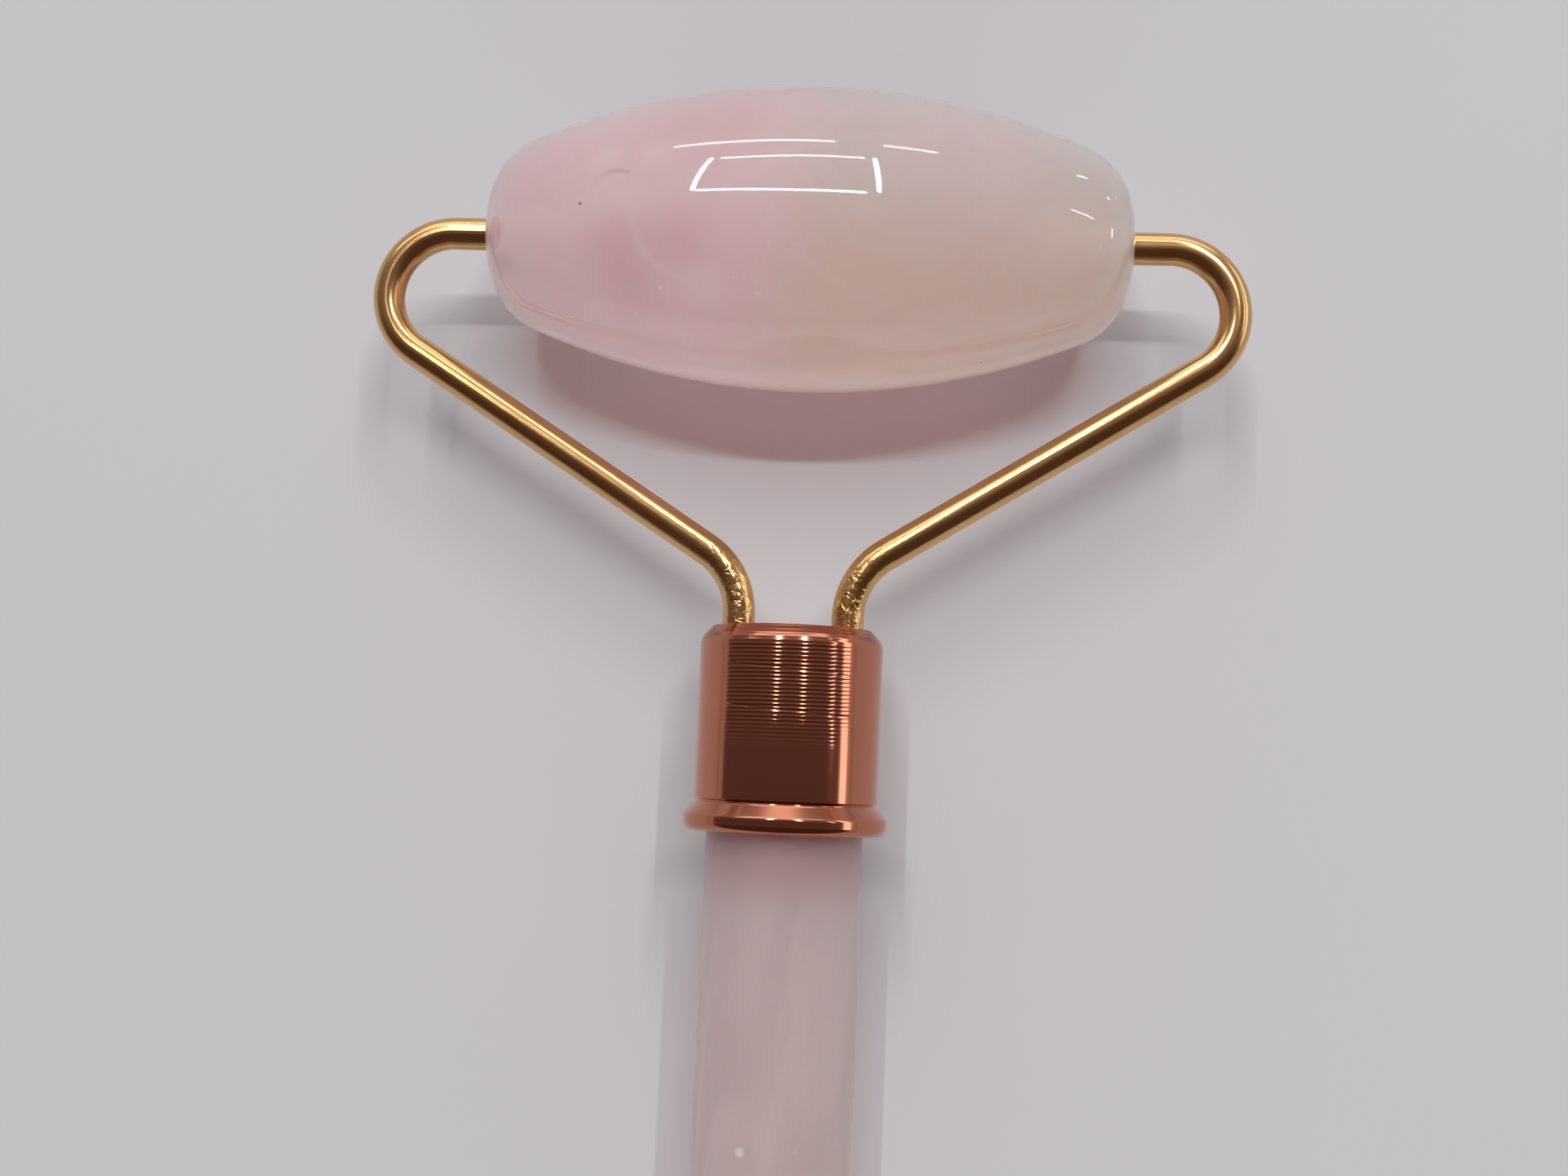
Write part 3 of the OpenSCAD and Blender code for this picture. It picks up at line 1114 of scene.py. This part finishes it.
@dataclass(frozen=True)
class WireYoke:
    """The two bent wires that carry a stone.

    Attributes:
        end: Which end they belong to.
        roller_length: Length of the stone between them.
        run_out: Straight wire between the stone and the upper bend.
        upper_bend: Radius of the upper bend, on the centreline.
        finish: Material of the wires.
    """

    end: End
    roller_length: float
    run_out: float
    upper_bend: float
    finish: bpy.types.Material

    WIRE_RADIUS = 1.0
    SLANT = math.radians(32.2)
    LOWER_BEND = 4.7
    LEG_RISE = 0.8
    LEG_X = 3.35
    LEG_DEPTH = 5.0
    PIVOT_LENGTH = 6.5
    AROUND = 40
    STEP = 0.12
    CAP_ROUNDING = 0.15
    FLAT_DEPTH, FLAT_START = 0.10, 0.55
    OVAL_DEPTH = 0.03
    # Keeps the patterns of the two wires apart
    PATTERN_SHIFT = 7
    CREASE = 60

    def slant_length(self) -> float:
        """Length of the slanted stretch between the two bends."""
        reach = self.roller_length / 2 + self.run_out - self.LEG_X - self.LOWER_BEND
        both = self.upper_bend + self.LOWER_BEND
        return (reach + both * math.sin(self.SLANT)) / math.cos(self.SLANT)

    def axis_height(self) -> float:
        """From the collar's top to the stone's axis."""
        both = self.upper_bend + self.LOWER_BEND
        rise = both * math.cos(self.SLANT) + self.slant_length() * math.sin(self.SLANT)
        return self.LEG_RISE + rise + self.upper_bend

    def centreline(self) -> tuple[np.ndarray, np.ndarray, np.ndarray, np.ndarray]:
        """Follows the right-hand wire from the foot of its leg to the tip of its pivot.

        The heading starts along y, turns evenly with length inside each bend and stays in the
        straights. The line is the running sum of short steps along the heading.

        Returns:
            Length from the foot, points (x, y), heading in radians, and curvature to the left.
        """
        leg = self.LEG_DEPTH + self.LEG_RISE
        lower = self.LOWER_BEND * (math.pi / 2 - self.SLANT)
        upper = self.upper_bend * (math.pi - self.SLANT)
        pivot = self.run_out + self.PIVOT_LENGTH
        marks = np.cumsum([0, leg, lower, self.slant_length(), upper, pivot])
        headings = [math.pi / 2, math.pi / 2, self.SLANT, self.SLANT, math.pi, math.pi]
        length = np.linspace(0, marks[-1], round(marks[-1] / self.STEP))
        middle = (length[1:] + length[:-1]) / 2
        heading = np.interp(middle, marks, headings)
        steps = np.diff(length)[:, None] * np.stack([np.cos(heading), np.sin(heading)], -1)
        walked = np.concatenate([[(0.0, 0.0)], np.cumsum(steps, 0)])
        points = walked + (self.LEG_X, -self.LEG_DEPTH)
        heading = np.interp(length, marks, headings)
        return length, points, heading, np.gradient(heading, length)

    def rings(self) -> tuple[np.ndarray, np.ndarray]:
        """Carries the wire's circle along the right-hand centreline.

        The radius shrinks to a rounded tip over the last CAP_ROUNDING of the pivot. Where the
        wire is bent, it is pressed in proportion to the curvature: a little oval in the plane of
        the bend, and a little flat on its inner side.

        Returns:
            Rings of points, and their places on the straightened wire.
        """
        length, points, heading, curve = self.centreline()
        cos, sin = circle(self.AROUND)
        to_tip = np.clip((length[-1] - length) / self.CAP_ROUNDING, 0, 1)
        radius = self.WIRE_RADIUS - self.CAP_ROUNDING * (1 - np.sqrt(1 - (1 - to_tip) ** 2))
        inward = np.sign(curve)[:, None] * cos
        flat = self.FLAT_DEPTH * np.clip(inward - self.FLAT_START, 0, 1)
        press = np.abs(curve)[:, None] * (flat + self.OVAL_DEPTH * np.abs(cos) ** 3)
        reach = radius[:, None] * (1 - press)
        left = np.stack([-np.sin(heading), np.cos(heading)], -1)
        rings = np.stack(
            [
                points[:, :1] + left[:, :1] * reach * cos,
                points[:, 1:] + left[:, 1:] * reach * cos,
                reach * sin,
            ],
            -1,
        )
        along = np.broadcast_to(length[:, None], reach.shape)
        return rings, np.stack([along, reach * cos, reach * sin], -1)

    def build(self, place: EndFrame) -> list[bpy.types.Object]:
        """Makes both wires.

        Args:
            place: The end that they belong to.

        Returns:
            The two objects.
        """
        rings, flow = self.rings()
        made = []
        for side in Side:
            name = f"{self.end.value}_wire_arm_{side.word}"
            shift = (0, 0, self.PATTERN_SHIFT * side.value)
            tube = Tube(rings * (side.value, 1, 1), flow + shift)
            obj = add_mesh(name, place.place(Tube.with_middles(tube.rings)), tube, self.CREASE)
            self.dress(obj, side)
            made.append(obj)
        return made

    def dress(self, obj: bpy.types.Object, side: Side) -> None:
        """Gives a wire its plating and ties it to the handle."""
        node = f"{self.end.value}_arm_{side.word}"
        fit_piece(obj, self.finish, "handle_assembly", "wire", node)


@dataclass(frozen=True)
class TurnedCollar:
    """A turned collar with a socket for the handle and two holes for the legs.

    Attributes:
        place: The end that it belongs to.
        finish: Its material.
    """

    place: EndFrame
    finish: bpy.types.Material

    LENGTH = 12.4
    RADIUS = 5.6
    SOCKET_RADIUS = 4.8
    WEB = 1.5
    CHAMFER = (0.7, 0.75)
    CHAMFER_ROUNDING = 1.0
    BEAD_REACH = 6.22
    BEAD_FLARE = math.radians(42)
    BEAD_SHOULDER = 0.3
    BEAD_SIDE = 0.35
    BEAD_MOUTH = 0.5
    GROOVE = (0.3, 0.12)
    TOP_EDGE, NECK_EDGE, MOUTH_EDGE, FINE_EDGE = 0.12, 0.08, 0.1, 0.05
    TOP_RING = 0.3
    HOLE_CLEARANCE = 0.05
    DRILL_OVER = 0.5
    HOLE_AROUND = 48
    AROUND = 160
    CREASE = 45
    FEED = 0.235
    # Distance between points on each run of the outline, in its order, with ten to a feed mark
    SPACING = (0.5, 0.06, FEED / 10, 0.12, 0.06, 0.06, 0.06, 0.06, 0.1, 0.5, 0.6)
    MARK_DEPTH = 0.02
    MARKS_END = 7.2
    MARKS_FADE = 2.5
    FADE_POWER = 0.7
    # How far inside the side's radius the marks still run, over the chamfer's rounding
    MARKS_INSIDE = 0.65
    ON_SIDE = 0.01
    WAVER = 0.18
    WAVER_RATES = (2.3, 5.1)
    WAVER_PHASE = 2.0
    SCRATCHES = (-2.65, -5.1)
    SCRATCH_TILT = 0.07
    SCRATCH_DEPTH = 0.012
    SCRATCH_WIDTH = 0.06

    def outline(self) -> np.ndarray:
        """Outline from the middle of the top, down the outside and up the socket, as (radius, y).

        Corners are joined by straight runs, and each is rounded by an arc tangent to both runs.

        Returns:
            Points as rows.
        """
        wide, high = self.CHAMFER
        groove_wide, groove_deep = self.GROOVE
        side_top = self.BEAD_MOUTH + self.BEAD_SIDE - self.LENGTH
        shoulder = side_top + self.BEAD_SHOULDER * math.tan(self.BEAD_FLARE / 2)
        neck = shoulder + (self.BEAD_REACH - self.RADIUS) / math.tan(self.BEAD_FLARE)
        corners = np.array(
            [
                (self.TOP_RING, 0.0, 0.0),
                (self.RADIUS - wide, 0.0, self.TOP_EDGE),
                (self.RADIUS, -high, self.CHAMFER_ROUNDING),
                (self.RADIUS, -self.MARKS_END, 0.0),
                (self.RADIUS, neck + groove_wide, self.FINE_EDGE),
                (self.RADIUS - groove_deep, neck + groove_wide / 2, self.FINE_EDGE),
                (self.RADIUS, neck, self.NECK_EDGE),
                (self.BEAD_REACH, shoulder, self.BEAD_SHOULDER),
                (self.BEAD_REACH, -self.LENGTH, self.BEAD_MOUTH),
                (self.SOCKET_RADIUS, -self.LENGTH, self.MOUTH_EDGE),
                (self.SOCKET_RADIUS, -self.WEB, self.FINE_EDGE),
                (self.TOP_RING, -self.WEB, 0.0),
            ]
        )
        return rounded_outline(corners, self.SPACING)

    def build(self) -> bpy.types.Object:
        """Turns the outline about y and cuts the lathe's feed marks and scratches into it.

        The marks run over the rounding of the chamfer and down the side. Seen from the side,
        each is a shallow hollow one FEED wide, a parabola as a round tool leaves it, and together
        they are a helix: the phase is the distance along the axis over the feed, plus the share
        of a turn. Their depth wavers as a product of two sines, and they fade out at MARKS_END. A
        scratch is a bell-shaped groove that slants across the upper half.

        Returns:
            The collar's object.
        """
        radius, y = self.outline().T
        cos, sin = circle(self.AROUND)
        turn = np.arange(self.AROUND) / self.AROUND
        phase = y[:, None] / self.FEED + turn
        hollow = 1 - 4 * (phase - np.floor(phase) - 0.5) ** 2
        inside = self.RADIUS - radius
        on_side = (inside > -self.ON_SIDE) & (inside < self.MARKS_INSIDE) & (y < 0)
        fade = np.clip((y + self.MARKS_END) / self.MARKS_FADE, 0, 1) ** self.FADE_POWER
        slow, fast = self.WAVER_RATES
        waves = np.sin(slow * y) * np.sin(fast * y + self.WAVER_PHASE)
        uneven = 1 - self.WAVER + self.WAVER * waves
        cut = self.MARK_DEPTH * (fade * uneven)[:, None] * hollow
        for start in self.SCRATCHES:
            off_line = y[:, None] - start + self.SCRATCH_TILT * self.RADIUS * cos
            cut += self.SCRATCH_DEPTH * np.exp(-((off_line / self.SCRATCH_WIDTH) ** 2)) * (sin > 0)
        reach = radius[:, None] - cut * on_side[:, None]
        rings = np.stack(
            [reach * cos, np.broadcast_to(y[:, None], reach.shape), reach * sin], -1
        )
        tube = Tube(rings, rings)
        name = f"{self.place.end.value}_turned_collar"
        obj = add_mesh(name, self.place.place(Tube.with_middles(rings)), tube, self.CREASE)
        self.drill(obj)
        self.dress(obj)
        return obj

    def drill(self, obj: bpy.types.Object) -> None:
        """Cuts the two leg holes through the web.

        Args:
            obj: The collar, whose mesh is changed.
        """
        cos, sin = circle(self.HOLE_AROUND)
        radius = WireYoke.WIRE_RADIUS + self.HOLE_CLEARANCE
        ends = np.array([[self.DRILL_OVER], [-self.WEB - self.DRILL_OVER]])
        for side in Side:
            across = WireYoke.LEG_X * side.value + radius * cos
            rings = np.stack(np.broadcast_arrays(across, ends, radius * sin), -1)
            points = self.place.place(Tube.with_middles(rings))
            drill = add_mesh("drill", points, Tube(rings, rings), self.CREASE)
            cut = obj.modifiers.new("leg_hole", "BOOLEAN")
            cut.operation, cut.solver, cut.object = "DIFFERENCE", "EXACT", drill
            graph = bpy.context.evaluated_depsgraph_get()
            mesh = bpy.data.meshes.new_from_object(obj.evaluated_get(graph))
            obj.modifiers.remove(cut)
            obj.data = mesh
            bpy.data.objects.remove(drill)

    def dress(self, obj: bpy.types.Object) -> None:
        """Gives the collar its anodised finish and ties it to the handle."""
        node = f"{self.place.end.value}_collar"
        fit_piece(obj, self.finish, "handle_assembly", "collar", node)


def rounded_outline(
    corners: np.ndarray, spacing: Sequence[float], turn_step: float = 0.05
) -> np.ndarray:
    """Joins corners by straight runs and rounds each with an arc tangent to both runs.

    The arc's tangent points lie at radius times the tangent of half the turn from the corner.

    Args:
        corners: Rows of (radius, y, rounding radius).
        spacing: Distance between points on each run.
        turn_step: Largest turn between points on an arc, in radians.

    Returns:
        Points as rows.
    """
    points = corners[:, :2]
    runs = np.diff(points, axis=0)
    runs /= np.linalg.norm(runs, axis=1)[:, None]
    pieces, start = [], points[0]
    for i, run in enumerate(runs):
        last = i == len(runs) - 1
        out = run if last else runs[i + 1]
        turn = math.atan2(run[0] * out[1] - run[1] * out[0], run @ out)
        back = corners[i + 1, 2] * math.tan(abs(turn) / 2)
        stop = points[i + 1] - back * run
        count = max(2, round(np.linalg.norm(stop - start) / spacing[i]) + 1)
        pieces.append(np.linspace(start, stop, count)[:-1])
        if back > 1e-6:
            share = np.linspace(0, turn, max(4, math.ceil(abs(turn) / turn_step)))
            normal = np.array([-run[1], run[0]]) * np.sign(turn)
            swing = np.abs(share)[:, None]
            arc = corners[i + 1, 2] * (np.sin(swing) * run + (1 - np.cos(swing)) * normal)
            pieces.append(stop + arc[:-1])
            start = stop + arc[-1]
        else:
            start = stop
    return np.concatenate([*pieces, start[None]])


@dataclass(frozen=True)
class StoneHandle:
    """The stone bar between the collars, a little swollen, with a plain seat in each.

    Attributes:
        place: Frame of the large end.
        finish: Its stone.
    """

    place: EndFrame
    finish: RoseQuartz

    LENGTH = 64.0
    SEAT = 6.4
    END_RADIUS = 4.75
    SWELL = 0.15
    CHAMFER = 0.4
    END_RING = 0.4
    AROUND, ALONG = 128, 260
    POLISH_DEPTH = 0.008
    POLISH_LENGTH = 9.0
    POLISH_RISE = 2.0
    CREASE = 40

    def build(self) -> bpy.types.Object:
        """Turns the bar's outline about y.

        Between the collars the radius is the end radius plus a flat circular arc, which for so
        small a swell is the parabola SWELL times one minus the square of the share of the half
        length. The skin dips by the unevenness of hand polishing.

        Returns:
            The handle's object.
        """
        half, end = self.LENGTH / 2, self.LENGTH / 2 + self.SEAT
        side = np.linspace(self.CHAMFER - end, end - self.CHAMFER, self.ALONG)
        y = np.concatenate([[-end, -end], side, [end, end]])
        radius = self.END_RADIUS + self.SWELL * np.clip(1 - (y / half) ** 2, 0, None)
        radius[[0, -1]] = self.END_RING
        radius[[1, -2]] = self.END_RADIUS - self.CHAMFER
        cos, sin = circle(self.AROUND)
        rings = np.stack(
            [
                radius[:, None] * cos,
                np.broadcast_to(y[:, None], (len(y), self.AROUND)),
                radius[:, None] * sin,
            ],
            -1,
        )
        skin = np.clip((half - np.abs(y)) / self.POLISH_RISE, 0, 1)[:, None]
        dip = self.POLISH_DEPTH * skin * (1 + polished_waves(rings, self.POLISH_LENGTH))
        rings[..., 0] -= dip * cos
        rings[..., 2] -= dip * sin
        tube = Tube(rings, rings)
        points = Tube.with_middles(rings) - (0, TurnedCollar.LENGTH + half, 0)
        obj = add_mesh("stone_handle", self.place.place(points), tube, self.CREASE)
        self.dress(obj)
        return obj

    def dress(self, obj: bpy.types.Object) -> None:
        """Gives the handle its stone, its body, and leave for soft light to pass to the table."""
        fit_piece(obj, self.finish.material(), "handle_assembly", "handle_stone", "handle")
        obj.visible_diffuse = False


# Studio


@dataclass(frozen=True)
class Lamp:
    """A rectangular lamp.

    Attributes:
        name: Its name.
        middle: Its middle, in metres from the middle of the large stone.
        run: Vector along its length, in metres; its length is the lamp's.
        width: Its width in metres.
        radiance: How bright its face is; 1 is the white of the picture.
        duty: What it is for.
    """

    name: str
    middle: tuple[float, float, float]
    run: tuple[float, float, float]
    width: float
    radiance: float
    duty: Duty

    def build(self, target: Vector) -> None:
        """Makes the lamp and turns its face to a point.

        Args:
            target: The point, in metres.
        """
        run = Vector(self.run)
        data = bpy.data.lights.new(self.name, "AREA")
        data.shape, data.size, data.size_y = "RECTANGLE", run.length, self.width
        data.energy = math.pi * run.length * self.width * self.radiance
        lamp = bpy.data.objects.new(self.name, data)
        back = Vector(self.middle).normalized()
        along = (run - back * run.dot(back)).normalized()
        turned = Matrix((along, back.cross(along), back)).transposed().to_4x4()
        lamp.matrix_world = Matrix.Translation(target + Vector(self.middle)) @ turned
        lights = self.duty is Duty.LIGHT
        lamp.visible_camera, lamp.visible_glossy = False, not lights
        lamp.visible_diffuse = lamp.visible_transmission = lights
        if not lights:
            lamp.light_linking.receiver_collection = self.duty.pieces
        bpy.context.scene.collection.objects.link(lamp)


@dataclass(frozen=True)
class Studio:
    """Table, lamps, room and camera.

    The stones mirror a frame of thin strips overhead and a few small glints. The metal mirrors
    broader edges and panels. Three thin keys, a panel and a low fill light the surfaces. The
    brightness of the stones was set with this number of lamps.

    Attributes:
        place: Frame of the large end, which the camera looks at.
        stone_middle: Middle of the large stone, in metres.
        lamps: The lamps.
    """

    place: EndFrame
    stone_middle: tuple[float, float, float]
    lamps: Sequence[Lamp] = field(
        default=(
            Lamp("near_strip", (-0.14, 0.406, 1.0), (0.574, -0.024, 0.0), 0.035, 18.0, Duty.STONE),
            Lamp("left_strip", (-0.475, 0.745, 1.0), (-0.039, 0.605, 0.0), 0.015, 70.0, Duty.STONE),
            Lamp("right_strip", (0.188, 0.735, 1.0), (0.015, 0.605, 0.0), 0.015, 70.0, Duty.STONE),
            Lamp("inner_strip", (-0.145, 1.164, 1.0), (0.605, 0.022, 0.0), 0.045, 13.0, Duty.STONE),
            Lamp("far_strip", (-0.441, 2.03, 1.0), (0.934, -0.164, 0.0), 0.09, 9.0, Duty.STONE),
            Lamp("far_end", (0.443, 1.94, 1.0), (0.295, -0.03, 0.0), 0.09, 8.0, Duty.STONE),
            Lamp("side_strip", (1.152, 0.544, 1.0), (0.175, -0.165, 0.0), 0.022, 20.0, Duty.STONE),
            Lamp("far_glow", (0.0, 1.5, 0.45), (2.0, 0.0, 0.0), 0.5, 1.2, Duty.METAL),
            Lamp("far_glint", (0.555, 0.819, 0.148), (0.02, 0.0, 0.0), 0.03, 40.0, Duty.STONE),
            Lamp("low_glint", (0.817, 0.577, 0.03), (0.03, 0.0, 0.0), 0.03, 40.0, Duty.STONE),
            Lamp("side_glint", (0.98, 0.162, 0.113), (0.02, -0.13, 0.0), 0.02, 40.0, Duty.STONE),
            Lamp("wide_panel", (-0.45, 1.3, 1.0), (2.0, 0.0, 0.0), 0.35, 2.0, Duty.METAL),
            Lamp("left_edge", (-0.245, 0.65, 1.0), (0.0, 0.7, 0.0), 0.065, 24.0, Duty.METAL),
            Lamp("right_edge", (0.375, 0.65, 1.0), (0.0, 0.7, 0.0), 0.065, 24.0, Duty.METAL),
            Lamp("side_panel", (1.2, 0.35, 0.75), (0.24, -0.65, 0.0), 0.08, 4.0, Duty.METAL),
            Lamp("low_panel", (1.5, 0.5, 0.325), (0.0, 1.6, 0.0), 0.3, 2.4, Duty.METAL),
            Lamp("near_key", (0.08, 0.27, 1.0), (0.52, 0.0, 0.0), 0.022, 77.0, Duty.LIGHT),
            Lamp("left_key", (-0.18, 0.6, 1.0), (0.0, 0.67, 0.0), 0.014, 71.0, Duty.LIGHT),
            Lamp("right_key", (0.34, 0.6, 1.0), (0.0, 0.67, 0.0), 0.014, 71.0, Duty.LIGHT),
            Lamp("far_panel", (0.0, 0.9, 1.2), (1.4, 0.0, 0.0), 0.7, 0.7, Duty.LIGHT),
            Lamp("low_fill", (0.0, -0.45, 0.11), (0.7, 0.0, 0.0), 0.12, 2.6, Duty.LIGHT),
        )
    )

    CAMERA_AT = (8.321, -8.209, 121.277)
    CAMERA_TO = (-0.64, 2.52, 0.0)
    CAMERA_ROLL = math.radians(-2.389)
    FOCAL_PIXELS = 2800.0
    PHOTO_WIDTH = 2212.0
    SENSOR = 36.0
    CLIP = (0.01, 20.0)
    TABLE_REACH = 4.0
    TABLE_LINES = 9
    ROOM_NEAR = "#4a3b34"
    # Overhead, far and low tones of the room: axis of the direction, start, full, and tone
    ROOM_TONES = (
        ("Y", -0.3, 0.28, "#7c6e70"),
        ("Y", 0.2, 0.95, "#aeabad"),
        ("Z", 0.17, 0.08, "#b9b4b3"),
    )

    def build(self) -> None:
        """Makes everything in the studio."""
        self.lay_table()
        self.light_room()
        for lamp in self.lamps:
            lamp.build(Vector(self.stone_middle))
        self.aim_camera()

    def lay_table(self) -> None:
        """Lays a wide flat table under the object: a grid in x and y at height 0."""
        line = np.linspace(-self.TABLE_REACH, self.TABLE_REACH, self.TABLE_LINES)
        x, y = np.meshgrid(line, line, indexing="ij")
        vertices = np.stack([x, y, np.zeros_like(x)], -1).reshape(-1, 3)
        number = np.arange(x.size).reshape(x.shape)
        quads = np.stack([number[:-1, :-1], number[1:, :-1], number[1:, 1:], number[:-1, 1:]], -1)
        mesh = bpy.data.meshes.new("table")
        mesh.from_pydata(vertices.tolist(), [], quads.reshape(-1, 4).tolist())
        paint = Mottled("painted_board", "#e2e3e6", "#dedfe3", grain=60.0, roughness=(0.45, 0.6))
        mesh.materials.append(paint.material())
        table = bpy.data.objects.new("table", mesh)
        bpy.context.scene.collection.objects.link(table)

    def light_room(self) -> None:
        """Makes the room dim overhead and on the handle's side, and pale far off and low down."""
        world = bpy.data.worlds.new("room")
        world.use_nodes = True
        tree = world.node_tree
        tree.nodes.clear()
        towards = add_node(
            tree, "SeparateXYZ", {0: add_node(tree, "TexCoord").outputs["Generated"]}
        ).outputs
        colour = linear(self.ROOM_NEAR)
        for axis, start, full, tone in self.ROOM_TONES:
            share = add_node(
                tree, "MapRange",
                {"Value": towards[axis], "From Min": start, "From Max": full},
                interpolation_type="SMOOTHSTEP",
            ).outputs["Result"]
            colour = add_node(
                tree, "Mix", {0: share, MIX_A: colour, MIX_B: linear(tone)}, data_type="RGBA"
            ).outputs[MIX_RESULT]
        shader = add_node(tree, "Background", {"Color": colour})
        add_node(tree, "OutputWorld", {"Surface": shader.outputs["Background"]})
        bpy.context.scene.world = world

    def aim_camera(self) -> None:
        """Sets the camera where the photograph was taken from.

        Its up is the handle's direction, square to the line of sight and rolled.
        """
        data = bpy.data.cameras.new("camera")
        data.sensor_fit, data.sensor_width = "HORIZONTAL", self.SENSOR
        data.lens = self.SENSOR * self.FOCAL_PIXELS / self.PHOTO_WIDTH
        data.clip_start, data.clip_end = self.CLIP
        camera = bpy.data.objects.new("camera", data)
        at, to = (Vector(self.place.place(np.array(p))) for p in (self.CAMERA_AT, self.CAMERA_TO))
        sight = (to - at).normalized()
        along = Vector(self.place.axes[1])
        up = (along - sight * along.dot(sight)).normalized()
        up = up * math.cos(self.CAMERA_ROLL) + sight.cross(up) * math.sin(self.CAMERA_ROLL)
        axes = Matrix((sight.cross(up), up, -sight)).transposed().to_4x4()
        camera.matrix_world = Matrix.Translation(at) @ axes
        bpy.context.scene.collection.objects.link(camera)
        bpy.context.scene.camera = camera


def dress_hidden_nodes() -> None:
    """Gives the bushes and the adhesive, which stay as CAD nodes, their materials."""
    acetal = Mottled(
        "moulded_acetal", "#efe9e2", "#e2dad2", grain=2.0, roughness=(0.3, 0.42)
    ).material()
    epoxy = Mottled(
        "cast_epoxy_resin", "#d9cfae", "#c9bd97", grain=3.0, roughness=(0.18, 0.3)
    ).material()
    for name, node in frame["nodes"].items():
        if "bush" in name or "glue" in name:
            node.data.materials.clear()
            node.data.materials.append(acetal if "bush" in name else epoxy)
            LOG.info("%s: CAD node kept", name)


def main() -> None:
    """Builds the pieces in order, then the studio."""
    logging.basicConfig(level=logging.INFO, format="%(message)s")
    gold = GoldPlatedWire().material()
    aluminium = AnodisedAluminium().material()
    yokes = {end: WireYoke(end, STONES[end][0], *YOKES[end], gold) for end in End}
    places = {end: EndFrame.of(end, yoke.axis_height()) for end, yoke in yokes.items()}
    middles = {end: tuple(EndFrame.joint_place(end)) for end in End}
    for end, yoke in yokes.items():
        yoke.build(places[end])
        TurnedCollar(places[end], aluminium).build()
        clouds, cracks = MARKS[end]
        stone = RoseQuartz(
            f"rose_quartz_{end.value}_roller", middles[end], clouds=clouds, cracks=cracks
        )
        StoneRoller(places[end], yoke.axis_height(), *STONES[end], stone).build()
    bar = RoseQuartz(
        "rose_quartz_handle",
        (0.0, 0.0, HANDLE_HEIGHT * MM),
        pink="#d6c7c8",
        cream="#d3c7c5",
        tan="#d2c5c1",
        veil_share=0.2,
        veil_run=6.0,
        gloss=0.3,
        sheen=0.0,
        clouds=HANDLE_CLOUDS,
    )
    StoneHandle(places[End.LARGE], bar).build()
    dress_hidden_nodes()
    Studio(places[End.LARGE], middles[End.LARGE]).build()
    bpy.context.scene.view_settings.view_transform = "Standard"


if __name__ == "__main__":
    main()
